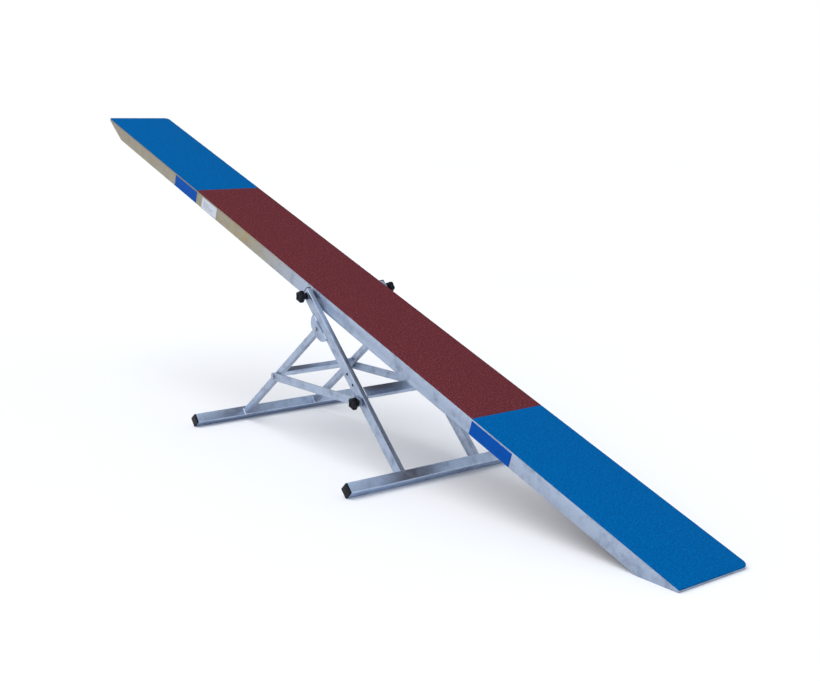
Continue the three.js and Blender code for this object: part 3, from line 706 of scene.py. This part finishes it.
# %% Welds of the hinge plates
PLATE_WELD_PLACES = (0.1574, 0.1786)
PLATE_WELD_RUNS = ((0.082, 0.105), (0.165, 0.19))
PLATE_WELD_Z = -0.0138
for side, sign in (("near", -1), ("far", 1)):
    mesh = bmesh.new()
    for plate_y in PLATE_WELD_PLACES:
        for start, end in PLATE_WELD_RUNS:
            corners = [(start, sign * plate_y, PLATE_WELD_Z), (end, sign * plate_y, PLATE_WELD_Z)]
            ring_of_welds(mesh, corners, THIN_WELD_RADIUS, front_frame)
    finish_piece(f"hinge_welds_{side}", mesh, "front_frame", weld_metal)
print("hinge plates welded")

# %% [markdown]
# ## Screws
# A countersunk screw near each end of each rail holds the nose bar. A short cone with a bevelled
# rim is enough at this size.

# %% Screws at the nose bars
SCREW_RADIUS = 0.0032
SCREW_HEAD_HEIGHT = 0.0014
SCREW_RIM = 0.0003
SCREW_FACE_Y = 0.1504
SCREW_X = 1.826
SCREW_Z = -0.0135
for end, end_sign in (("low", 1), ("high", -1)):
    for side, sign in (("near", -1), ("far", 1)):
        mesh = bmesh.new()
        bmesh.ops.create_cone(
            mesh, cap_ends=True, segments=24, radius1=SCREW_RADIUS, radius2=SCREW_RADIUS * 0.7,
            depth=SCREW_HEAD_HEIGHT)
        rim = [edge for edge in mesh.edges if edge.calc_face_angle(0) > radians(50)]
        bmesh.ops.bevel(
            mesh, geom=rim, offset=SCREW_RIM, offset_type="OFFSET", segments=2, profile=0.5,
            affect="EDGES", material=-1)
        place = Vector((end_sign * SCREW_X, 0, SCREW_Z))
        lay_along_y(mesh, mesh.verts[:], SCREW_FACE_Y, sign, place)
        bmesh.ops.transform(mesh, matrix=plank_frame, verts=mesh.verts)
        bmesh.ops.recalc_face_normals(mesh, faces=mesh.faces)
        finish_piece(f"nose_screw_{end}_{side}", mesh, "plank", zinc)
print("screws driven")

# %% [markdown]
# ## Studio
# A wide pale floor and a sky that is white at the horizon and greyer overhead give the metal
# something to mirror, and one very soft sun keeps the floor even to its far edge. The camera
# stands to the front right, a little above the plank's middle, and is rolled by half a degree.
# The Standard view transform shows each colour as it was mixed, where the default one greys it.

# %% Floor
FLOOR_HALF_SIZE = 20
floor_mesh = bmesh.new()
bmesh.ops.create_grid(floor_mesh, x_segments=8, y_segments=8, size=FLOOR_HALF_SIZE)
floor_data = bpy.data.meshes.new("studio_floor")
floor_mesh.to_mesh(floor_data)
floor_mesh.free()
floor_material, tree, shader, place = start_material("pale_floor", 0.9)
tint = add_mix(
    tree, add_noise(tree, place, 0.4), colour(246, 247, 249), colour(252, 252, 253))
tree.links.new(tint, shader.inputs["Base Color"])
floor_data.materials.append(floor_material)
studio_floor = bpy.data.objects.new("studio_floor", floor_data)
bpy.context.scene.collection.objects.link(studio_floor)
print("floor laid")

# %% Sky
world = bpy.data.worlds.new("studio_sky")
world.use_nodes = True
tree = world.node_tree
direction = tree.nodes.new("ShaderNodeTexCoord")
axes = tree.nodes.new("ShaderNodeSeparateXYZ")
tree.links.new(direction.outputs["Generated"], axes.inputs["Vector"])
WHITE_BELOW, GREY_ABOVE = 0.1, 0.65
overhead = add_band(tree, axes.outputs["Z"], WHITE_BELOW, GREY_ABOVE)
sky = add_mix(tree, overhead, (1.0, 1.0, 1.0, 1), (0.5, 0.53, 0.58, 1))
tree.links.new(sky, tree.nodes["Background"].inputs["Color"])
tree.nodes["Background"].inputs["Strength"].default_value = 1.0
bpy.context.scene.world = world
print("sky hung")

# %% Sun
SUN_DIRECTION = Vector((0.15, 0.45, -0.9))
sun_data = bpy.data.lights.new("soft_sun", "SUN")
sun_data.energy = 1.75
sun_data.angle = radians(70)
sun = bpy.data.objects.new("soft_sun", sun_data)
sun.rotation_euler = SUN_DIRECTION.to_track_quat("-Z", "Y").to_euler()
bpy.context.scene.collection.objects.link(sun)
bpy.context.scene.view_settings.view_transform = "Standard"
print("sun up")

# %% Camera
CAMERA_PLACE = Vector((3.7022, -2.5726, 1.2719))
CAMERA_DIRECTION = Vector((-0.77461, 0.60238, -0.19267))
CAMERA_ROLL = radians(0.578)
camera_data = bpy.data.cameras.new("studio_camera")
camera_data.lens = 52.83
camera_data.sensor_width = 36
camera_data.sensor_fit = "HORIZONTAL"
camera = bpy.data.objects.new("studio_camera", camera_data)
aim = CAMERA_DIRECTION.to_track_quat("-Z", "Y").to_matrix().to_4x4()
camera.matrix_world = Matrix.Translation(CAMERA_PLACE) @ aim @ Matrix.Rotation(CAMERA_ROLL, 4, "Z")
bpy.context.scene.collection.objects.link(camera)
bpy.context.scene.camera = camera
print("camera at", tuple(camera.location))
